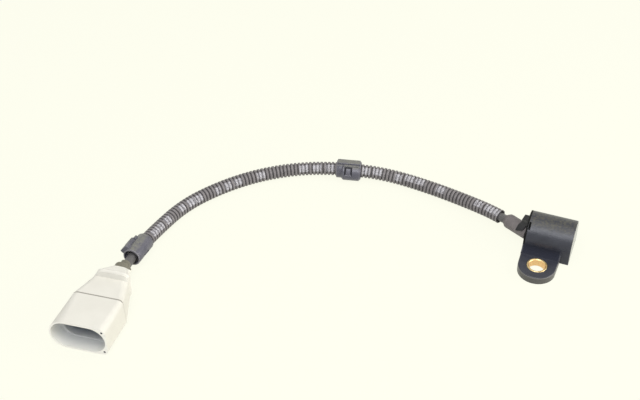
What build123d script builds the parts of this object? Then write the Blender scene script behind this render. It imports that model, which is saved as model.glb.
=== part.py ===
from build123d import *
import math
import os

# Sensing head, millimetres. The origin is the bolt axis on the seating plane,
# +Z up out of the ear, +Y from the bolt to the body, +X away from the cable.
body_length = 21.0
body_depth = 18.5
body_height = 15.75
body_wall = 1.6
end_round = 0.3
ear_radius = 8.3
ear_root_half = 8.6
ear_reach = 8.5
ear_thickness = 3.5
ear_edge_round = 0.6
select_margin = 0.01

# Compression limiter in the ear, for an M6 bolt.
bush_bore = 7.0
bush_wall = 1.05
bush_height = 3.6
bush_chamfer = 0.3

# End cover of the head.
cap_thickness = 0.85
spigot_length = 2.4
spigot_wall = 0.8
fit_gap = 0.1
latch_width = 3.6
latch_length = 0.9
latch_margin = 0.1
latch_recess = 0.7
latch_angle = 36.0
visor_radius = 4.2
visor_length = 3.4
visor_slope = 25
gusset_reach = 3.9
gusset_bottom = 3.6
gusset_top = 8.0
gusset_inset = 0.8

# Parts inside the head.
carrier_width = 12.0
carrier_offset = 1.1
carrier_base = 2.4
carrier_end_gap = 0.3
pillar_length = 6.4
pillar_width = 8.0
sense_gap = 1.25
rib_height = 0.3
rib_thickness = 0.4
rib_length = 2.5
rib_gap = 1.6
rib_count = 4
magnet_size = 5.0
magnet_height = 2.8
chip_size = 4.6
chip_height = 1.5
lead_thickness = 0.3
lead_width = 0.45
lead_rise = 0.9
lead_foot = 1.2
foot_gap = 0.4
foot_margin = 0.2
terminal_pitch = 1.9
terminal_width = 1.3
terminal_thickness = 0.4
terminal_end_gap = 0.4
crimp_wall = 0.25
crimp_length = 1.9
capacitor_length = 3.2
capacitor_width = 1.5
capacitor_height = 1.2
capacitor_gap = 0.3

# Cable, its cores and the strain relief.
cable_radius = 2.0
core_radius = 0.5
core_spread = 0.85
core_lead = 1.0
core_bend = 0.8
core_count = 3
core_first_angle = 150
boot_radius = 3.35
boot_length = 10.2
boot_shoulder = 1.9
boot_tip_radius = 2.45
boot_root = 1.0
boot_tip_slope = -0.4

# Corrugated conduit and its clips.
conduit_radius = 3.05
conduit_wall = 0.65
clip_gap = 0.15
mid_clip_length = 11.8
mid_clip_radius = 4.2
end_clip_length = 13.2
end_clip_radius = 4.1
clip_ridge_sink = 1.0
mid_clip_ridges = [(0.3, 11.0, 0.4, 3.2)]
end_clip_ridges = [(2.4, 2.2, 0.9, 3.2), (5.0, 4.4, 1.7, 3.2), (9.8, 2.8, 2.0, 5.2)]
mid_clip_bulge = 1.5
mid_clip_ridge_dir = (0, 0, 1)
mid_clip_latch_dir = (0, -0.906, 0.423)
end_clip_ridge_dir = (-0.8, 0, 0.6)
end_clip_latch_dir = (0.8, 0, -0.6)
clip_step_length = 2.6
latch_window_length = 3.7
latch_window_width = 4.2
latch_window_depth = 0.7
latch_tab_length = 2.0
latch_tab_width = 3.2
split_line = 0.25
split_depth = 0.35

# Connector, placed by the middle of its mouth and turned in plan.
plug_x = -161.6
plug_y = -111.4
plug_turn = 5.9
plug_height = 14.7
mouth_left = -14.75
mouth_right = 10.3
mouth_left_round = 7.2
mouth_right_round = 3.0
seam_depth = 17.6
seam_left = -11.6
seam_right = 11.0
seam_gap = 0.15
seam_left_round = 3.0
seam_right_round = 2.2
entry_depth = 6.2
rim_side = 0.7
rim_wall = 0.75
stadium_share = 0.98
socket_depth = 13.1
socket_wall = 1.1
land_width = 0.8
web_thickness = 2.5
spigot_wall_side = 0.65
spigot_height = 7.0
spigot_round = 1.0
key_hole_radius = 0.35
key_hole_depth = 1.0
key_hole_inset = 1.55
key_hole_edge = 1.85
latch_pocket_width = 9.0
latch_pocket_margin = 0.6
latch_pocket_length = 5.8
latch_pocket_depth = 0.8
latch_nose_rise = 0.7
latch_nose_length = 2.6
latch_nose_margin = 1.4

# Contacts, seals and lock of the connector.
pin_pitch = 4.2
pin_middle = -0.8
blade_width = 2.8
blade_thickness = 0.8
blade_tip_depth = 7.0
blade_tip_chamfer = 0.35
box_width = 2.6
box_height = 2.2
box_length = 2.2
neck_length = 1.6
neck_size = 1.0
barrel_length = 1.9
crimp_radius = 0.9
seal_gap = 0.2
seal_length = 1.8
seal_radius = 1.75
seal_waist = 1.45
seal_lip = 0.5
seal_ramp = 0.25
lock_drop = 0.9
lock_margin = 0.6

# Rear cover of the connector and its grommet.
hood_length = 10.8
band_left = -7.5
band_right = 8.8
band_bottom = 3.6
band_round = 2.8
hood_wall = 0.6
hood_gap = 0.15
wire_room_margin = 0.4
collar_rise = 2.2
collar_lean = 0.9
collar_length = 1.7
collar_left = -6.0
collar_right = 8.6
cone_length = 9.8
neck_cut_margin = 1.3
neck_cut_slope = 36.0
neck_length_over = 4.6
neck_rim_radius = 3.75
grommet_radius = 3.0
grommet_seat = 0.2
flare_root = 1.8
flare_rim_margin = 1.6
flare_radius = 3.8
flare_length = 3.2
flare_tip_radius = 2.2
flare_hollow = (0.8, 1.05)

# Points of the lead from the head to the connector, bolt axis at the origin.
lead_points = [
    (-7.0, 15.5, 6.6),
    (-22.3, 23.9, 5.8),
    (-40.0, 30.4, 4.2),
    (-61.0, 35.4, 3.3),
    (-82.0, 37.0, 3.5),
    (-102.0, 32.5, 4.5),
    (-121.0, 27.0, 3.4),
    (-138.0, 15.5, 3.2),
    (-151.5, 0.5, 3.2),
    (-162.0, -17.5, 3.2),
    (-166.0, -38.5, 3.8),
    (-167.05, -60.05, 6.1),
    (-164.7, -81.4, 7.35),
]
arc_share = 0.45

# Places along the lead, from its head end or from its connector end.
conduit_from_head = 17.3
mid_clip_from_head = 96.3
end_clip_from_plug = 27.4
conduit_from_plug = 22.2

# Places worked out from the sizes above.
body_left = -ear_root_half
body_right = body_left + body_length
body_front = ear_reach
body_back = body_front + body_depth
body_middle = (body_front + body_back) / 2
crest_radius = body_depth / 2
crest_height = body_height - crest_radius
shell_left = body_left + cap_thickness
bush_radius = bush_bore / 2 + bush_wall
conduit_bore = conduit_radius - conduit_wall
clip_bore = conduit_radius + clip_gap
latch_seat = crest_radius - body_wall - fit_gap - spigot_wall / 2
latch_rise = crest_radius - latch_recess - latch_seat
pin_height = plug_height / 2
spigot_bottom = pin_height - spigot_height / 2
spigot_top = pin_height + spigot_height / 2
lock_bottom = pin_height - lock_drop
left_slope = (seam_left - mouth_left) / seam_depth
entry_left = mouth_left + rim_side
entry_right = mouth_right - rim_side
inner_left = entry_left + left_slope * entry_depth
entry_bottom = rim_wall
entry_top = plug_height - rim_wall
entry_round = (entry_top - entry_bottom) / 2 * stadium_share
socket_left = mouth_left + left_slope * socket_depth + socket_wall
web_depth = socket_depth + web_thickness
neck_start = web_depth + box_length
neck_end = neck_start + neck_length
crimp_end = neck_end + barrel_length
seal_start = crimp_end + seal_gap
spigot_end = seal_start + seal_length
spigot_half = pin_pitch + seal_radius + spigot_wall_side
lock_half = spigot_half - lock_margin
key_hole_across = mouth_right - key_hole_inset
latch_pocket_start = entry_depth + latch_pocket_margin
latch_pocket_end = latch_pocket_start + latch_pocket_length
latch_nose_start = latch_pocket_start + latch_nose_margin
cover_start = seam_depth + seam_gap
band_depth = seam_depth + hood_length
hood_end = band_depth - hood_wall
collar_start = band_depth + collar_lean
collar_end = collar_start + collar_length
collar_top = plug_height + collar_rise
neck_rim_depth = collar_end + cone_length
neck_cut_depth = neck_rim_depth + neck_cut_margin
neck_end_depth = neck_rim_depth + neck_length_over
grommet_start = collar_end - grommet_seat
flare_start = neck_rim_depth - flare_root
flare_rim_depth = neck_rim_depth + flare_rim_margin
flare_end = flare_rim_depth + flare_length


def head_profile(margin):
    """Outline of the head seen along X, drawn inside its outer faces by the margin."""
    with BuildLine() as outline:
        Polyline(
            (body_back - margin, crest_height),
            (body_back - margin, margin),
            (body_front + margin, margin),
            (body_front + margin, crest_height),
        )
        ThreePointArc(
            (body_front + margin, crest_height),
            (body_middle, body_height - margin),
            (body_back - margin, crest_height),
        )
    make_face(outline.edges())


def latch_plane(rise=0.0):
    """Plane across the crest at the latch window, at a height over the crest's axis."""
    tilt = math.radians(latch_angle)
    outward = Vector(0, -math.sin(tilt), math.cos(tilt))
    middle = shell_left + latch_margin + latch_length / 2
    centre = Vector(middle, body_middle, crest_height) + outward * rise
    return Plane(centre, x_dir=(1, 0, 0), z_dir=outward)


def square_to(direction, along):
    """The part of a direction that is square to another, at unit length."""
    return (direction - along * direction.dot(along)).normalized()


# Directions and planes of the connector.
side_dir = Vector(math.cos(math.radians(plug_turn)), math.sin(math.radians(plug_turn)), 0)
rear_dir = Vector(-side_dir.Y, side_dir.X, 0)
mouth_point = Vector(plug_x, plug_y, 0)


def plug_point(across, depth, height):
    """A point of the connector, by its place in the connector's own directions."""
    return mouth_point + side_dir * across + rear_dir * depth + Vector(0, 0, height)


def plug_plane(depth):
    """Plane across the connector at a depth from its mouth, facing out of the mouth."""
    return Plane(plug_point(0, depth, 0), x_dir=side_dir, z_dir=rear_dir * -1)


def plug_side_plane(across):
    """Upright plane along the connector, with depth and height as its directions."""
    return Plane(plug_point(across, 0, 0), x_dir=rear_dir, z_dir=side_dir)


def plug_outline(left, right, bottom, top, left_round, right_round):
    """Rounded section of the connector, drawn in the sketch that is open."""
    with Locations(((left + right) / 2, (bottom + top) / 2)):
        section = Rectangle(right - left, top - bottom)
    rounded = fillet(section.vertices().group_by(Axis.X)[0], left_round)
    fillet(rounded.vertices().group_by(Axis.X)[-1], right_round)


# The lead's centre line: straight runs joined by tangent arcs.
def corner_radii(points):
    """Fillet radius at each inner point of a route, as large as its two runs allow."""
    radii = []
    for before, corner, after in zip(points, points[1:], points[2:]):
        run_in = Vector(corner) - Vector(before)
        run_out = Vector(after) - Vector(corner)
        half_turn = math.radians(run_in.get_angle(run_out) / 2)
        shorter = min(run_in.length, run_out.length)
        radii.append(arc_share * shorter / math.tan(half_turn))
    return radii


lead_radii = corner_radii(lead_points)
print("lead radii", [round(radius, 1) for radius in lead_radii])

with BuildLine() as lead_line:
    FilletPolyline(*lead_points, radius=lead_radii)
lead_wire = lead_line.wires()[0]
lead_length = lead_wire.length

exit_dir = (Vector(*lead_points[1]) - Vector(*lead_points[0])).normalized()
entry_dir = (Vector(*lead_points[-1]) - Vector(*lead_points[-2])).normalized()

# The point where the lead's first run passes the head's end, and the planes there.
exit_share = (body_left - lead_points[0][0]) / (lead_points[1][0] - lead_points[0][0])
first_run = Vector(*lead_points[1]) - Vector(*lead_points[0])
exit_point = Vector(*lead_points[0]) + first_run * exit_share
exit_plane = Plane(exit_point, z_dir=exit_dir)
exit_side_plane = Plane(exit_point, x_dir=exit_dir, z_dir=exit_dir.cross(Vector(0, 0, 1)))
visor_tilt = math.radians(visor_slope)
visor_plane = Plane(
    exit_point + Vector(0, 0, boot_radius),
    z_dir=Vector(-math.sin(visor_tilt), 0, math.cos(visor_tilt)),
)


def lead_plane(distance):
    """Plane across the lead at a distance from its head end, facing the connector."""
    centre = lead_wire.position_at(distance, position_mode=PositionMode.LENGTH)
    along = lead_wire.tangent_at(distance, position_mode=PositionMode.LENGTH)
    return Plane(centre, z_dir=along)


def lead_tube(radius, bore=0.0):
    """A round tube along the whole centre line of the lead."""
    with BuildPart() as tube:
        with BuildSketch(Plane(lead_points[0], z_dir=exit_dir)):
            Circle(radius)
            if bore:
                Circle(bore, mode=Mode.SUBTRACT)
        sweep(path=lead_wire)
    return tube.part


# Sensing head: body with its ear.
with BuildPart() as sensor_body:
    with BuildSketch(Plane.YZ.offset(shell_left)):
        head_profile(0)
    extrude(amount=body_right - shell_left)
    far_end = sensor_body.faces().sort_by(Axis.X)[-1]
    fillet(far_end.edges().sort_by(Axis.Z)[1:], end_round)
    with BuildSketch():
        with BuildLine():
            CenterArc((0, 0), ear_radius, 0, 360)
            Line((-ear_root_half, body_front), (ear_root_half, body_front))
        make_hull()
    extrude(amount=ear_thickness)
    ear_rim = (
        sensor_body.edges()
        .filter_by_position(Axis.Z, ear_thickness - select_margin, ear_thickness + select_margin)
        .filter_by_position(Axis.Y, -ear_radius, body_front - select_margin)
    )
    fillet(ear_rim, ear_edge_round)
    root_bottom = ear_thickness - ear_edge_round
    root_radius = crest_height - ear_thickness
    with BuildSketch(Plane.YZ.offset(-ear_root_half)):
        with BuildLine():
            RadiusArc(
                (body_front - root_radius, ear_thickness),
                (body_front, crest_height),
                -root_radius,
            )
            Polyline(
                (body_front, crest_height),
                (body_front, root_bottom),
                (body_front - root_radius, root_bottom),
                (body_front - root_radius, ear_thickness),
            )
        make_face()
    extrude(amount=2 * ear_root_half)
    with BuildSketch(Plane.YZ.offset(shell_left)):
        head_profile(body_wall)
    extrude(amount=body_right - body_wall - shell_left, mode=Mode.SUBTRACT)
    with BuildSketch():
        Circle(bush_radius)
    extrude(amount=ear_thickness, mode=Mode.SUBTRACT)
    with BuildSketch(latch_plane()):
        Rectangle(latch_length, latch_width)
    extrude(amount=body_height, mode=Mode.SUBTRACT)

# Compression limiter moulded into the ear.
with BuildPart() as mounting_bush:
    with BuildSketch():
        Circle(bush_radius)
        Circle(bush_bore / 2, mode=Mode.SUBTRACT)
    extrude(amount=bush_height)
    bush_top = mounting_bush.faces().sort_by(Axis.Z)[-1]
    chamfer(bush_top.edges(), bush_chamfer)

# End cover: plate, spigot with its latch nose, visor over the boot, and rear gusset.
with BuildPart() as end_cap:
    with BuildSketch(exit_plane):
        Circle(visor_radius)
    extrude(amount=visor_length)
    split(bisect_by=visor_plane, keep=Keep.TOP)
    with BuildSketch(Plane.XY.offset(gusset_bottom)):
        with BuildLine():
            Polyline(
                (shell_left, body_middle),
                (body_left - gusset_reach, body_middle + boot_radius),
                (body_left - gusset_reach + gusset_inset, body_back - gusset_inset),
                (shell_left, body_back - gusset_inset),
                close=True,
            )
        make_face()
    extrude(amount=gusset_top - gusset_bottom)
    split(bisect_by=Plane.YZ.offset(body_left), keep=Keep.BOTTOM)
    with BuildSketch(Plane.YZ.offset(body_left)):
        head_profile(0)
    extrude(amount=cap_thickness)
    with BuildSketch(Plane.YZ.offset(shell_left)):
        head_profile(body_wall + fit_gap)
    extrude(amount=spigot_length)
    with BuildSketch(Plane.YZ.offset(shell_left)):
        head_profile(body_wall + fit_gap + spigot_wall)
    extrude(amount=spigot_length, mode=Mode.SUBTRACT)
    with BuildSketch(latch_plane(latch_seat)):
        Rectangle(latch_length - 2 * fit_gap, latch_width - 2 * fit_gap)
    extrude(amount=latch_rise)
    with BuildSketch(exit_plane.offset(-visor_radius)):
        Circle(boot_radius)
    extrude(amount=visor_radius + boot_length, mode=Mode.SUBTRACT)

# Strain relief on the cable, seated in the socket.
with BuildPart() as cable_boot:
    with BuildSketch(exit_side_plane):
        with BuildLine():
            Polyline(
                (boot_length, boot_radius),
                (-boot_root, boot_radius),
                (-boot_root, 0),
                (boot_length + boot_shoulder, 0),
                (boot_length + boot_shoulder, boot_tip_radius),
            )
            Spline(
                (boot_length, boot_radius),
                (boot_length + boot_shoulder, boot_tip_radius),
                tangents=((1, 0), (1, boot_tip_slope)),
            )
        make_face()
    revolve(axis=Axis(exit_point, exit_dir))
    add(lead_tube(cable_radius), mode=Mode.SUBTRACT)

# Moulded block inside the head: base with ribs, pillar and magnet pocket.
# Its places run from the head's far end back to the cable.
carrier_right = body_right - body_wall - carrier_end_gap
pillar_left = carrier_right - pillar_length
pillar_middle = carrier_right - pillar_length / 2
terminal_right = pillar_left - terminal_end_gap
lead_drop = terminal_right - foot_margin
capacitor_right = lead_drop - lead_foot - foot_gap
capacitor_left = capacitor_right - capacitor_width
crimp_right = capacitor_left - capacitor_gap
terminal_left = crimp_right - crimp_length
rib_left = crimp_right + rib_gap
carrier_left = terminal_left - carrier_end_gap
carrier_length = carrier_right - carrier_left
carrier_middle = body_middle - carrier_offset
carrier_top = body_wall + carrier_base
pillar_top = body_height - body_wall - sense_gap - chip_height
terminal_rows = [carrier_middle + step * terminal_pitch for step in (-1, 0, 1)]
terminal_top = carrier_top + terminal_thickness

with BuildPart() as chip_carrier:
    with BuildSketch(Plane.XY.offset(body_wall)):
        with Locations((carrier_right - carrier_length / 2, carrier_middle)):
            RectangleRounded(carrier_length, carrier_width, rib_thickness)
    extrude(amount=carrier_base)
    with BuildSketch(Plane.XY.offset(carrier_top)):
        with Locations((pillar_middle, carrier_middle)):
            RectangleRounded(pillar_length, pillar_width, rib_thickness)
    extrude(amount=pillar_top - carrier_top)
    with BuildSketch(Plane.XY.offset(carrier_top)):
        with Locations((rib_left + rib_length / 2, carrier_middle)):
            with GridLocations(0, terminal_pitch, 1, rib_count):
                Rectangle(rib_length, rib_thickness)
    extrude(amount=rib_height)
    with BuildSketch(Plane.XY.offset(pillar_top)):
        with Locations((pillar_middle, carrier_middle)):
            Rectangle(magnet_size + fit_gap, magnet_size + fit_gap)
    extrude(amount=-magnet_height, mode=Mode.SUBTRACT)

with BuildPart() as bias_magnet:
    with BuildSketch(Plane.XY.offset(pillar_top - magnet_height)):
        with Locations((pillar_middle, carrier_middle)):
            Rectangle(magnet_size, magnet_size)
    extrude(amount=magnet_height)
    chamfer(bias_magnet.edges().filter_by(Axis.Z), bush_chamfer)

# Hall chip lying on the magnet, with leads formed down to the terminals.
chip_left = pillar_middle - chip_size / 2
lead_height = pillar_top + lead_rise

with BuildPart() as hall_chip:
    with BuildSketch(Plane.XY.offset(pillar_top)):
        with Locations((pillar_middle, carrier_middle)):
            Rectangle(chip_size, chip_size)
    extrude(amount=chip_height)
    chamfer(hall_chip.edges().group_by(Axis.Z)[-1], bush_chamfer)
    for row in terminal_rows:
        with BuildSketch(Plane.XZ.offset(-row)):
            with BuildLine():
                Polyline(
                    (chip_left + lead_thickness, lead_height),
                    (lead_drop - lead_thickness, lead_height),
                    (lead_drop - lead_thickness, terminal_top + lead_thickness),
                    (lead_drop - lead_foot, terminal_top + lead_thickness),
                    (lead_drop - lead_foot, terminal_top),
                    (lead_drop, terminal_top),
                    (lead_drop, lead_height - lead_thickness),
                    (chip_left + lead_thickness, lead_height - lead_thickness),
                    close=True,
                )
            make_face()
        extrude(amount=lead_width / 2, both=True)


def head_terminal(row):
    """A brass strip with a crimp barrel, lying on the carrier in its own row."""
    crimp_axis = carrier_top + core_radius + crimp_wall
    with BuildPart() as terminal:
        with BuildSketch(Plane.XY.offset(carrier_top)):
            with Locations(((terminal_left + terminal_right) / 2, row)):
                Rectangle(terminal_right - terminal_left, terminal_width)
        extrude(amount=terminal_thickness)
        with BuildSketch(Plane.YZ.offset(terminal_left)):
            with Locations((row, crimp_axis)):
                Circle(core_radius + crimp_wall)
        extrude(amount=crimp_length)
        with BuildSketch(Plane.YZ.offset(terminal_left)):
            with Locations((row, crimp_axis)):
                Circle(core_radius)
        extrude(amount=crimp_length, mode=Mode.SUBTRACT)
    return terminal


def core_wire(points, bend):
    """An insulated core of the cable along a bent route."""
    with BuildLine() as route:
        FilletPolyline(*points, radius=bend)
    start_dir = (Vector(*points[1]) - Vector(*points[0])).normalized()
    with BuildPart() as wire:
        with BuildSketch(Plane(points[0], z_dir=start_dir)):
            Circle(core_radius)
        sweep(path=route.wires()[0])
    return wire


def core_offset(index, across, up):
    """Place of one of the cores in the round of the cable."""
    angle = math.radians(core_first_angle + 360 / core_count * index)
    return across * (core_spread * math.cos(angle)) + up * (core_spread * math.sin(angle))


head_terminals = [head_terminal(row) for row in terminal_rows]

upward = Vector(0, 0, 1)
head_across = exit_dir.cross(upward).normalized()
if head_across.Y < 0:
    head_across = head_across * -1
head_up = square_to(upward, exit_dir)
head_wires = []
for index, row in enumerate(terminal_rows):
    jacket_end = Vector(*lead_points[0]) + core_offset(index, head_across, head_up)
    crimp_axis = carrier_top + core_radius + crimp_wall
    bend_in = jacket_end - exit_dir * core_lead
    bend_out = Vector(terminal_left - core_lead, row, crimp_axis)
    wire_end = Vector(terminal_left + crimp_length, row, crimp_axis)
    head_wires.append(core_wire([jacket_end, bend_in, bend_out, wire_end], core_bend))

with BuildPart() as filter_capacitor:
    with BuildSketch(Plane.XY.offset(terminal_top)):
        with Locations(
            (capacitor_left + capacitor_width / 2, carrier_middle - terminal_pitch / 2)
        ):
            Rectangle(capacitor_width, capacitor_length)
    extrude(amount=capacitor_height)
    chamfer(filter_capacitor.edges().filter_by(Axis.X), rib_height / 2)

# Cable and conduit.
with BuildPart() as cable_jacket:
    add(lead_tube(cable_radius))
expected = math.pi * cable_radius**2 * lead_length
print("cable length", round(lead_length, 2), "volume", round(cable_jacket.part.volume, 2))
print("section times length", round(expected, 2))

with BuildPart() as conduit:
    add(lead_tube(conduit_radius, conduit_bore))
    split(bisect_by=lead_plane(conduit_from_head), keep=Keep.TOP)
    split(bisect_by=lead_plane(lead_length - conduit_from_plug), keep=Keep.BOTTOM)


def clamshell_clip(distance, length, radius, bulge, ridges, ridge_dir, latch_dir):
    """A latched clamshell clip round the conduit.

    The bulge is how far its latch half stands out over the barrel. Each ridge is
    its start, its length, its rise over the barrel and its width."""
    middle = lead_plane(distance)
    along = middle.z_dir
    section = Plane(middle.origin, x_dir=square_to(ridge_dir, along), z_dir=along)
    latch = Plane(
        middle.origin - section.y_dir * bulge,
        x_dir=along,
        z_dir=square_to(latch_dir, along),
    )
    half_window = math.asin(latch_window_width / 2 / radius)
    seam_dir = latch.z_dir * math.cos(half_window) - latch.y_dir * math.sin(half_window)
    seam = Plane(latch.origin, x_dir=along, z_dir=seam_dir)
    with BuildPart() as clip:
        with BuildSketch(section.offset(-length / 2)):
            Circle(radius)
        extrude(amount=length)
        if bulge:
            with BuildSketch(section.offset(-length / 2)):
                with BuildLine():
                    CenterArc((0, 0), radius, 0, 360)
                    CenterArc((0, -bulge), radius, 0, 360)
                make_hull()
            extrude(amount=length - clip_step_length)
        with BuildSketch(seam.offset(radius - split_depth)):
            Rectangle(length, split_line)
        extrude(amount=2 * split_depth, mode=Mode.SUBTRACT)
        with BuildSketch(latch.offset(radius - latch_window_depth)):
            Rectangle(latch_window_length, latch_window_width)
            Rectangle(latch_tab_length, latch_tab_width, mode=Mode.SUBTRACT)
        extrude(amount=2 * latch_window_depth, mode=Mode.SUBTRACT)
        for ridge_start, ridge_length, ridge_rise, ridge_width in ridges:
            ridge_height = ridge_rise + clip_ridge_sink
            with BuildSketch(section.offset(ridge_start - length / 2)):
                with Locations((radius + ridge_rise - ridge_height / 2, 0)):
                    Rectangle(ridge_height, ridge_width)
            extrude(amount=ridge_length)
        add(lead_tube(clip_bore), mode=Mode.SUBTRACT)
    return clip


mid_clip = clamshell_clip(
    mid_clip_from_head,
    mid_clip_length,
    mid_clip_radius,
    mid_clip_bulge,
    mid_clip_ridges,
    Vector(*mid_clip_ridge_dir),
    Vector(*mid_clip_latch_dir),
)
end_clip = clamshell_clip(
    lead_length - end_clip_from_plug,
    end_clip_length,
    end_clip_radius,
    0,
    end_clip_ridges,
    Vector(*end_clip_ridge_dir),
    Vector(*end_clip_latch_dir),
)

# Connector: front housing with mouth, web and spigot.
pin_rows = [pin_middle + step * pin_pitch for step in (-1, 0, 1)]

with BuildPart() as connector_shroud:
    with BuildSketch(plug_plane(0)):
        plug_outline(mouth_left, mouth_right, 0, plug_height, mouth_left_round, mouth_right_round)
    with BuildSketch(plug_plane(seam_depth)):
        plug_outline(seam_left, seam_right, 0, plug_height, seam_left_round, seam_right_round)
    loft()
    with BuildSketch(plug_plane(seam_depth)):
        plug_outline(
            pin_middle - spigot_half,
            pin_middle + spigot_half,
            spigot_bottom,
            spigot_top,
            spigot_round,
            spigot_round,
        )
    extrude(amount=seam_depth - spigot_end)
    with BuildSketch(plug_plane(0)):
        plug_outline(entry_left, entry_right, entry_bottom, entry_top, entry_round, entry_round)
    with BuildSketch(plug_plane(entry_depth)):
        plug_outline(inner_left, entry_right, entry_bottom, entry_top, entry_round, entry_round)
    loft(mode=Mode.SUBTRACT)
    with BuildSketch(plug_plane(entry_depth)):
        plug_outline(
            socket_left,
            entry_right - land_width,
            entry_bottom + land_width,
            entry_top - land_width,
            entry_round - land_width,
            entry_round - land_width,
        )
    extrude(amount=entry_depth - socket_depth, mode=Mode.SUBTRACT)
    with BuildSketch(plug_plane(socket_depth)):
        with Locations(*[(row, pin_height) for row in pin_rows]):
            Rectangle(blade_width + fit_gap, blade_thickness + fit_gap)
    extrude(amount=socket_depth - web_depth, mode=Mode.SUBTRACT)
    with BuildSketch(plug_plane(web_depth)):
        with Locations(*[(row, pin_height) for row in pin_rows]):
            Circle(seal_radius)
    extrude(amount=web_depth - spigot_end, mode=Mode.SUBTRACT)
    with BuildSketch(plug_plane(neck_start + fit_gap)):
        with Locations((pin_middle, (lock_bottom - fit_gap + plug_height) / 2)):
            Rectangle(2 * (lock_half + fit_gap), plug_height - lock_bottom + fit_gap)
    extrude(amount=neck_start - neck_end + 2 * fit_gap, mode=Mode.SUBTRACT)
    with BuildSketch(plug_plane(0)):
        with Locations((key_hole_across, key_hole_edge), (key_hole_across, plug_height - key_hole_edge)):
            Circle(key_hole_radius)
    extrude(amount=-key_hole_depth, mode=Mode.SUBTRACT)
    with BuildSketch(plug_side_plane(-latch_pocket_width / 2)):
        with BuildLine():
            Polyline(
                (latch_pocket_start, -latch_pocket_depth),
                (latch_pocket_start, latch_pocket_depth),
                (latch_nose_start, latch_pocket_depth),
                (latch_nose_start + latch_nose_length, latch_pocket_depth - latch_nose_rise),
                (latch_nose_start + latch_nose_length, latch_pocket_depth),
                (latch_pocket_end, latch_pocket_depth),
                (latch_pocket_end, -latch_pocket_depth),
                close=True,
            )
        make_face()
    extrude(amount=latch_pocket_width, mode=Mode.SUBTRACT)


def contact_pin(across):
    """A blade with its locking box, neck and crimp barrel."""
    with BuildPart() as pin:
        with BuildSketch(plug_plane(blade_tip_depth)):
            with Locations((across, pin_height)):
                Rectangle(blade_width, blade_thickness)
        extrude(amount=blade_tip_depth - neck_start)
        tip = pin.faces().sort_by(Axis(mouth_point, rear_dir))[0]
        chamfer(tip.edges(), blade_tip_chamfer)
        with BuildSketch(plug_plane(web_depth + fit_gap)):
            with Locations((across, pin_height)):
                Rectangle(box_width, box_height)
        extrude(amount=web_depth + fit_gap - neck_start)
        with BuildSketch(plug_plane(neck_start)):
            with Locations((across, pin_height)):
                Rectangle(neck_size, neck_size)
        extrude(amount=neck_start - neck_end)
        with BuildSketch(plug_plane(neck_end)):
            with Locations((across, pin_height)):
                Circle(crimp_radius)
        extrude(amount=neck_end - crimp_end)
        with BuildSketch(plug_plane(crimp_end)):
            with Locations((across, pin_height)):
                Circle(core_radius)
        extrude(amount=crimp_end - neck_end - crimp_wall, mode=Mode.SUBTRACT)
    return pin


def wire_seal(across):
    """A two-lipped seal on one core, filling its channel."""
    seal_axis = Axis(plug_point(across, 0, pin_height), rear_dir)
    with BuildPart() as seal:
        with BuildSketch(Plane(seal_axis.position, x_dir=rear_dir, z_dir=side_dir)):
            with BuildLine():
                Polyline(
                    (seal_start, core_radius),
                    (seal_start, seal_radius),
                    (seal_start + seal_lip, seal_radius),
                    (seal_start + seal_lip + seal_ramp, seal_waist),
                    (spigot_end - seal_lip - seal_ramp, seal_waist),
                    (spigot_end - seal_lip, seal_radius),
                    (spigot_end, seal_radius),
                    (spigot_end, core_radius),
                    close=True,
                )
            make_face()
        revolve(axis=seal_axis)
    return seal


contact_pins = [contact_pin(row) for row in pin_rows]
wire_seals = [wire_seal(row) for row in pin_rows]

with BuildPart() as terminal_lock:
    with BuildSketch(plug_plane(neck_start + 2 * fit_gap)):
        with Locations((pin_middle, (lock_bottom + spigot_top) / 2)):
            Rectangle(2 * lock_half, spigot_top - lock_bottom)
        with Locations(*[(row, lock_bottom) for row in pin_rows]):
            Rectangle(
                neck_size + 2 * fit_gap,
                2 * (pin_height + neck_size / 2 + fit_gap - lock_bottom),
                mode=Mode.SUBTRACT,
            )
    extrude(amount=neck_start - neck_end + 4 * fit_gap)

# Rear cover: tapered hood, raised collar and a neck with a slanted end.
cut_slope = math.radians(neck_cut_slope)
neck_cut = Plane(
    plug_point(0, neck_cut_depth, pin_height),
    z_dir=rear_dir * math.cos(cut_slope) + Vector(0, 0, 1) * math.sin(cut_slope),
)

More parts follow.
